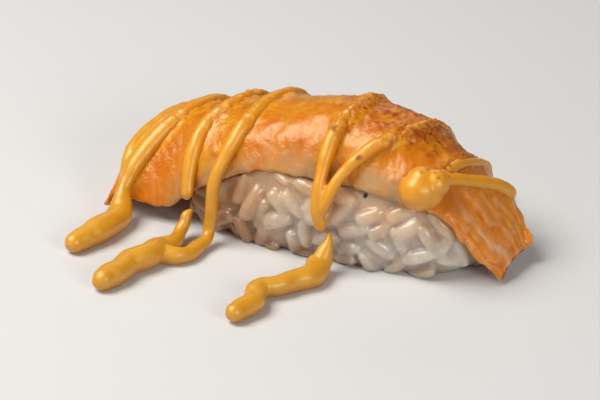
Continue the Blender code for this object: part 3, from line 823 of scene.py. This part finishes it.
def scatter(core_points, core_faces, draw):
    """Spots on the block's skin, with outward and lengthwise directions: neighbours lie nearly parallel."""
    edit = bmesh.new()
    verts = [edit.verts.new(point) for point in core_points]
    for face in core_faces:
        edit.faces.new([verts[i] for i in face])
    bmesh.ops.triangulate(edit, faces=edit.faces)
    bmesh.ops.recalc_face_normals(edit, faces=edit.faces)
    faces = [f for f in edit.faces if f.normal.z > -0.7 and f.calc_area() > 0.0]
    areas = np.cumsum([f.calc_area() for f in faces])
    spots = []
    grid = {}
    for _ in range(SCATTER_TRIES):
        face = faces[int(np.searchsorted(areas, draw.random() * areas[-1]))]
        a, b = draw.random(), draw.random()
        if a + b > 1.0:
            a, b = 1.0 - a, 1.0 - b
        v = [vert.co for vert in face.verts]
        point = v[0] + (v[1] - v[0]) * a + (v[2] - v[0]) * b
        normal = face.normal
        level = Vector((0.0, 0.0, 1.0)).cross(normal)
        level = level.normalized() if level.length > 0.1 else Vector((1.0, 0.0, 0.0))
        turn = GRAIN_TURN * noise.noise(point / GRAIN_TURN_SIZE) + draw.gauss(0.0, GRAIN_TURN_SPREAD)
        lengthwise = Matrix.Rotation(turn, 3, normal) @ level
        key = tuple(int(math.floor(c / GRAIN_APART[0])) for c in point)
        near = (
            other for i in (-1, 0, 1) for j in (-1, 0, 1) for k in (-1, 0, 1)
            for other in grid.get((key[0] + i, key[1] + j, key[2] + k), ())
        )
        if any(crowded(point - other[0], (lengthwise, other[2])) for other in near):
            continue
        grid.setdefault(key, []).append((point, normal.copy(), lengthwise))
        spots.append(grid[key][-1])
    edit.free()
    return spots


def crowded(way, directions):
    """Whether a neighbour that far off is too near, along or across either grain."""
    long_gap, wide_gap = GRAIN_APART
    for lengthwise in directions:
        along = way.dot(lengthwise)
        across = (way - lengthwise * along).length
        if (along / long_gap) ** 2 + (across / wide_gap) ** 2 < 1.0:
            return True
    return False


def place_grains(core, over):
    """Points of every grain pressed onto the block, one array each."""
    draw = random.Random(SEED)
    shapes = [grain_shape(draw) for _ in range(GRAIN_SHAPES)]
    placed = []
    for spot, normal, lengthwise in scatter(*core, draw):
        lengthwise = (lengthwise + normal * draw.gauss(0.0, GRAIN_LEAN)).normalized()
        across = normal.cross(lengthwise).normalized()
        up = lengthwise.cross(across)
        length = GRAIN_LENGTH * draw.uniform(*GRAIN_LENGTHS)
        width = GRAIN_WIDTH * draw.uniform(*GRAIN_WIDTHS)
        shape = draw.choice(shapes)
        basis = np.array([lengthwise * length, across * width, up * width])
        for raised in (draw.uniform(*GRAIN_RISE), *GRAIN_SINKS):
            points = shape @ basis + np.array(spot + normal * width * raised)
            if clear(points, over):
                points[:, 2] = np.maximum(points[:, 2], GRAIN_SOLE)
                placed.append(points)
                break
    return placed


def clear(points, over):
    """Whether a grain stays out of the slice, but for a light touch."""
    for point in points[::5]:
        point = Vector(point)
        spot, normal, _, _ = over.find_nearest(point, 4.0 * MM)
        if spot is not None and (point - spot).dot(normal) < -GRAIN_TOUCH:
            return False
    return True


def make_rice(over, strand_tree):
    """Grains and block grown into each other, as pressed sticky rice is, with soft valleys between grains."""
    core = make_core(over)
    grains = place_grains(core, over)
    obj = mesh_object("rice_grains", *joined([core] + [(grain, grain_faces()) for grain in grains]))
    fuse(obj, RICE_VOXEL, RICE_SOFTENING)

    # Each point takes the tone of the grain that it belongs to; valleys, where none is near, get painted
    # shade.
    draw = random.Random(SEED + 1)
    tones = [draw.random() for _ in grains]
    axis_tree = KDTree(len(grains) * 5)
    for index, grain in enumerate(grains):
        for share in np.linspace(0.15, 0.85, 5):
            axis_tree.insert(Vector(grain[0] * (1.0 - share) + grain[-1] * share), index)
    axis_tree.balance()
    surface = vertex_array(obj)
    nearest = [axis_tree.find(Vector(p)) for p in surface]
    tone = np.array([tones[found[1] // 5] for found in nearest])
    away = np.array([found[2] for found in nearest]) / MM
    stain = stain_of(surface, strand_tree)
    store(obj, tone=tone, valley=ramp(1.45, 2.3, away), stain=stain, brown=brown_of(surface))
    surface[:, 2] = np.maximum(surface[:, 2], RICE_SOLE)
    move_vertices(obj, surface)
    return obj


def stain_of(points, strand_tree):
    """An orange tint below the slice's edge, near the strands and more to the left: partly oil and sauce run
    into the rice, partly painted shade and painted orange light from the slice.
    """
    x, _, z = points.T / MM
    left = ramp(-4.0, -20.0, x)
    patch = 0.5 + 0.5 * noise_at(points, 6.0 * MM, 8.0)
    high = ramp(6.0, 15.0, z + 4.0 * (patch - 0.5))
    near = np.exp(-(np.maximum(distance_to(strand_tree, points) - 1.2, 0.0) / 1.6) ** 2)
    stain = 0.6 * left + high + 0.3 * near
    return clamp(stain * (0.6 + 0.7 * patch))


def brown_of(points):
    """Painted shade on the block: darker at its left end, lower down and at its foot."""
    x, _, z = points.T / MM
    patch = 0.5 + 0.5 * noise_at(points, 5.0 * MM, 12.0)
    left = ramp(-5.0, -20.0, x)
    foot = ramp(4.5, 0.5, z) * (0.4 + 0.6 * ramp(16.0, -2.0, x))
    low = ramp(16.0, 3.0, z)
    brown = left * (0.55 + 0.45 * low) + 0.7 * foot + 0.2 * low
    return clamp(brown * (0.55 + 0.9 * patch))


# Burnt spots and the pepper flake


def seen_spot(place, trees):
    """The nearest spot on the given surfaces at a place in the photograph's plane, and its normal."""
    right, up, back = view_axes()
    start = right * place[0] * MM + up * place[1] * MM + back * 0.2
    hits = [tree.ray_cast(start, -back) for tree in trees]
    return min((hit for hit in hits if hit[0] is not None), key=lambda hit: hit[3])[:2]


def mark_burns(objects, trees):
    """Stores how burnt each point of the objects is: uneven spots at the burn places."""
    spots = [(seen_spot(place[:2], trees)[0], place[2]) for place in BURNS]
    for obj in objects:
        points = vertex_array(obj)
        burnt = np.zeros(len(points))
        for spot, radius in spots:
            away = np.linalg.norm(points - np.array(spot), axis=1) / MM
            close = np.nonzero(away < 3.0 * radius)[0]
            uneven = noise_at(points[close], 0.55 * MM, 16.0)
            spotted = ramp(1.3, 0.6, away[close] / radius + 0.6 * uneven)
            burnt[close] = np.maximum(burnt[close], spotted)
        store(obj, burnt=burnt)


def make_pepper(trees):
    """An uneven dark flake, half sunk into the rice."""
    draw = random.Random(SEED)
    spot, normal = seen_spot(PEPPER_PLACE, trees)
    turn = normal.to_track_quat("Z", "Y").to_matrix() @ Matrix.Rotation(draw.uniform(0.0, math.tau), 3, "Z")
    edit = bmesh.new()
    bmesh.ops.create_icosphere(edit, subdivisions=3, radius=0.5)
    for vert in edit.verts:
        rough = 1.0 + 0.4 * noise.noise(vert.co * 2.6)
        vert.co = spot + turn @ Vector((vert.co.x, vert.co.y * 0.75, vert.co.z * 0.5)) * rough * PEPPER_SIZE
    mesh = bpy.data.meshes.new("pepper_flake")
    edit.to_mesh(mesh)
    edit.free()
    mesh.shade_smooth()
    return scene_object("pepper_flake", mesh)


# Materials


class Paint:
    """A material under construction: a Principled shader and short ways to add nodes before it."""

    def __init__(self, name, **inputs):
        self.material = bpy.data.materials.new(name)
        self.material.use_nodes = True
        self.tree = self.material.node_tree
        self.shader = self.tree.nodes["Principled BSDF"]
        for socket, value in inputs.items():
            self.shader.inputs[socket.replace("_", " ")].default_value = value
        self.place = self.tree.nodes.new("ShaderNodeTexCoord").outputs["Object"]

    def node(self, kind, **settings):
        made = self.tree.nodes.new(kind)
        for key, value in settings.items():
            setattr(made, key, value)
        return made

    def join(self, source, target):
        self.tree.links.new(source, target)

    def feed(self, made, inputs):
        """Fills inputs: numbers as such, colours with an alpha of 1, outputs by a link, None not at all."""
        for socket, value in inputs.items():
            if isinstance(value, (int, float)):
                made.inputs[socket].default_value = value
            elif isinstance(value, tuple):
                made.inputs[socket].default_value = value + (1.0,)
            elif value is not None:
                self.join(value, made.inputs[socket])
        return made

    def attribute(self, name, amount=None):
        """The stored value of that name, times the amount."""
        made = self.node("ShaderNodeAttribute", attribute_name=name).outputs["Fac"]
        return made if amount is None else self.times(made, amount)

    def noise(self, size, detail=3.0, roughness=0.55):
        made = self.node("ShaderNodeTexNoise")
        inputs = {"Vector": self.place, "Scale": 1.0 / size, "Detail": detail, "Roughness": roughness}
        return self.feed(made, inputs).outputs["Fac"]

    def span(self, value, low, high, to_low=0.0, to_high=1.0):
        made = self.node("ShaderNodeMapRange", clamp=True)
        inputs = {"Value": value, "From Min": low, "From Max": high, "To Min": to_low, "To Max": to_high}
        return self.feed(made, inputs).outputs["Result"]

    def maths(self, operation, first, second):
        made = self.node("ShaderNodeMath", operation=operation)
        return self.feed(made, {0: first, 1: second}).outputs["Value"]

    def times(self, first, second):
        return self.maths("MULTIPLY", first, second)

    def larger(self, first, second):
        return self.maths("MAXIMUM", first, second)

    def blend(self, share, first, second):
        made = self.node("ShaderNodeMix", data_type="RGBA")
        return self.feed(made, {"Factor": share, 6: first, 7: second}).outputs[2]

    def bump(self, height, distance, strength=1.0, below=None):
        made = self.node("ShaderNodeBump")
        inputs = {"Distance": distance, "Strength": strength, "Height": height, "Normal": below}
        return self.feed(made, inputs).outputs["Normal"]

    def finish(self, obj, colour=None, roughness=None, normal=None):
        self.feed(self.shader, {"Base Color": colour, "Roughness": roughness, "Normal": normal})
        obj.data.materials.clear()
        obj.data.materials.append(self.material)


def paint_slice(obj):
    p = Paint(
        "torched_salmon", IOR=1.45, Specular_IOR_Level=0.75, Specular_Tint=(0.76, 0.88, 0.6, 1.0),
        Subsurface_Weight=0.25, Subsurface_Scale=0.003, Subsurface_Radius=(1.0, 0.3, 0.1),
        Coat_Weight=0.12, Coat_Roughness=0.15, Coat_IOR=1.4,
    )
    large = p.noise(7.0 * MM, 3.0, 0.5)
    small = p.noise(1.3 * MM, 4.0, 0.6)
    tiny = p.noise(0.45 * MM, 3.0, 0.6)
    mottle = p.span(p.noise(1.9 * MM, 4.0, 0.62), 0.4, 0.62)
    flesh = p.blend(p.span(large, 0.32, 0.68), (0.64, 0.14, 0.003), (0.74, 0.24, 0.01))
    flesh = p.blend(p.attribute("fibre", 0.8), flesh, (0.94, 0.35, 0.08))
    flesh = p.blend(p.attribute("fat", 0.75), flesh, (0.88, 0.50, 0.27))
    thin = p.times(p.attribute("thin"), p.span(small, 0.3, 0.6, 0.55, 0.95))
    flesh = p.blend(thin, flesh, (0.61, 0.29, 0.075))
    rim = p.times(thin, thin)
    flesh = p.blend(rim, flesh, (0.50, 0.31, 0.15))
    film_share = p.times(p.attribute("film"), p.span(small, 0.3, 0.62, 0.6, 1.0))
    film = p.blend(mottle, (0.68, 0.19, 0.0), (0.84, 0.37, 0.0))
    coated = p.blend(film_share, flesh, film)
    sear = p.times(p.attribute("sear"), p.span(small, 0.36, 0.6, 0.3, 1.0))
    browned = p.blend(sear, coated, p.blend(mottle, (0.38, 0.05, 0.002), (0.58, 0.125, 0.002)))
    spots = p.span(p.noise(1.05 * MM, 2.0, 0.5), 0.62, 0.70)
    spots = p.times(spots, p.span(p.attribute("sear"), 0.3, 0.7))
    burnt = p.blend(spots, browned, (0.17, 0.02, 0.004))
    burnt = p.blend(p.attribute("burnt", 0.85), burnt, (0.30, 0.04, 0.002))
    # Painted shade: the lower face is blended towards a darker brown.
    colour = p.blend(p.attribute("under", 0.4), burnt, (0.40, 0.14, 0.05))
    dry = p.larger(p.attribute("burnt"), p.attribute("sear", 0.6))
    rough = p.larger(p.span(small, 0.3, 0.7, 0.12, 0.36), p.times(dry, 0.8))
    normal = p.bump(tiny, 0.08 * MM, 0.6)
    normal = p.bump(small, 0.26 * MM, 0.75, normal)
    p.finish(obj, colour, rough, normal)


def paint_sauce(obj):
    p = Paint(
        "torched_sauce", IOR=1.55, Specular_IOR_Level=1.0, Specular_Tint=(0.85, 0.92, 0.5, 1.0),
        Subsurface_Weight=0.3, Subsurface_Scale=0.002, Subsurface_Radius=(1.0, 0.5, 0.15),
        Coat_Weight=0.5, Coat_Roughness=0.32, Coat_IOR=1.5,
    )
    large = p.noise(5.0 * MM, 3.0, 0.5)
    small = p.noise(0.8 * MM, 4.0, 0.6)
    base = p.blend(p.span(large, 0.3, 0.7), (0.68, 0.29, 0.003), (0.78, 0.37, 0.014))
    crest = p.blend(p.attribute("crest"), base, (0.83, 0.33, 0.0))
    # Painted shade: the sides and undersides are blended to a deeper amber.
    flank = p.times(p.attribute("flank"), p.span(large, 0.3, 0.7, 0.55, 0.85))
    crest = p.blend(flank, crest, (0.56, 0.19, 0.001))
    torch = p.times(p.attribute("torched"), p.span(small, 0.32, 0.62, 0.2, 0.95))
    browned = p.blend(torch, crest, (0.56, 0.13, 0.001))
    spots = p.times(p.span(p.noise(0.9 * MM, 2.0, 0.5), 0.66, 0.73), p.attribute("torched"))
    burnt = p.blend(spots, browned, (0.20, 0.03, 0.006))
    colour = p.blend(p.attribute("burnt", 0.85), burnt, (0.30, 0.04, 0.002))
    rough = p.larger(p.span(small, 0.3, 0.7, 0.4, 0.52), p.attribute("burnt", 0.8))
    normal = p.bump(small, 0.05 * MM, 0.5)
    p.finish(obj, colour, rough, normal)


def paint_rice(obj):
    p = Paint(
        "sticky_rice", IOR=1.4, Specular_IOR_Level=0.5, Subsurface_Weight=0.9, Subsurface_Scale=0.006,
        Subsurface_Radius=(1.0, 0.7, 0.42), Coat_Weight=0.7, Coat_Roughness=0.14,
    )
    cloudy = p.noise(1.8 * MM, 3.0, 0.55)
    fine = p.noise(0.5 * MM, 3.0, 0.6)
    grain = p.blend(p.span(cloudy, 0.35, 0.68), (0.45, 0.385, 0.315), (0.63, 0.57, 0.49))
    grain = p.blend(p.attribute("tone", 0.6), grain, (0.75, 0.70, 0.64))
    # Painted shade in the valleys between grains.
    grain = p.blend(p.attribute("valley", 0.4), grain, (0.50, 0.38, 0.28))
    # Orange tint: partly oil and sauce, partly painted shade towards the left and painted orange light below
    # the slice.
    stained = p.blend(p.attribute("stain", 0.6), grain, (0.72, 0.38, 0.13))
    # Painted shade: the left end, the lower part and the foot go towards a dark brown.
    colour = p.blend(p.attribute("brown", 0.85), stained, (0.30, 0.13, 0.04))
    rough = p.span(fine, 0.3, 0.7, 0.24, 0.4)
    normal = p.bump(fine, 0.04 * MM, 0.35)
    p.finish(obj, colour, rough, normal)


def paint_pepper(obj):
    p = Paint("pepper", IOR=1.45)
    speckle = p.noise(0.3 * MM, 3.0, 0.6)
    colour = p.blend(p.span(speckle, 0.3, 0.7), (0.010, 0.007, 0.005), (0.07, 0.04, 0.02))
    p.finish(obj, colour, p.span(speckle, 0.3, 0.7, 0.45, 0.75), p.bump(speckle, 0.05 * MM, 0.6))


# Studio and camera


def make_studio():
    """A plain pale floor, four soft lights and a dim sky."""
    corners = [(x * FLOOR_REACH, y * FLOOR_REACH, 0.0) for x, y in ((-1, -1), (1, -1), (1, 1), (-1, 1))]
    floor = mesh_object("floor", corners, [(0, 1, 2, 3)])
    Paint("floor_matte", Roughness=0.75, Base_Color=FLOOR_COLOUR).finish(floor)

    for name, (place, aim, size, energy, colour) in LIGHTS.items():
        data = bpy.data.lights.new(name, "AREA")
        data.shape = "DISK"
        data.size = size
        data.energy = energy
        data.color = colour
        light = scene_object(name, data)
        light.location = place
        way = Vector((0.0, 0.0, aim)) - Vector(place)
        light.rotation_euler = way.to_track_quat("-Z", "Y").to_euler()

    world = bpy.data.worlds.new("studio")
    bpy.context.scene.world = world
    world.use_nodes = True
    background = world.node_tree.nodes["Background"]
    background.inputs["Color"].default_value = WORLD_COLOUR
    background.inputs["Strength"].default_value = WORLD_STRENGTH
    bpy.context.scene.view_settings.view_transform = "Standard"


def view_axes():
    """The camera's right, up and backward directions."""
    a, e = CAMERA_AZIMUTH, CAMERA_ELEVATION
    back = Vector((math.sin(a) * math.cos(e), -math.cos(a) * math.cos(e), math.sin(e)))
    right = Vector((math.cos(a), math.sin(a), 0.0))
    return right, back.cross(right), back


def make_camera():
    right, up, back = view_axes()
    target = right * CAMERA_ACROSS + up * CAMERA_UP
    data = bpy.data.cameras.new("camera")
    data.lens = CAMERA_LENS
    data.clip_start = 0.01
    camera = scene_object("camera", data)
    camera.matrix_world = Matrix((right, up, back)).transposed().to_4x4()
    camera.location = target + back * CAMERA_DISTANCE
    bpy.context.scene.camera = camera


# Put together


def main():
    top = coarse_slice_tree()
    routes = []
    for name, (weight, places) in DRIZZLE.items():
        routes.extend(route_of(top, name, places, weight))
    strand_points = np.concatenate([r[0] for r in routes])
    strand_tree = KDTree(len(strand_points))
    for index, point in enumerate(strand_points):
        strand_tree.insert(Vector(point), index)
    strand_tree.balance()

    salmon = make_slice(strand_tree)
    sauce = make_sauce(routes, top)
    over = tree_of(salmon)
    sauce_surface = tree_of(sauce)
    rice = make_rice(over, strand_tree)
    mark_burns((salmon, sauce), (over, sauce_surface))
    pepper = make_pepper((over, sauce_surface, tree_of(rice)))

    paint_slice(salmon)
    paint_sauce(sauce)
    paint_rice(rice)
    paint_pepper(pepper)

    for piece, node in ((salmon, "salmon"), (sauce, "salmon"), (rice, "rice"), (pepper, "rice")):
        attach(piece, "root")
    for piece, node in ((salmon, "salmon"), (sauce, "salmon"), (rice, "rice")):
        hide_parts(node)
    make_studio()
    make_camera()


main()
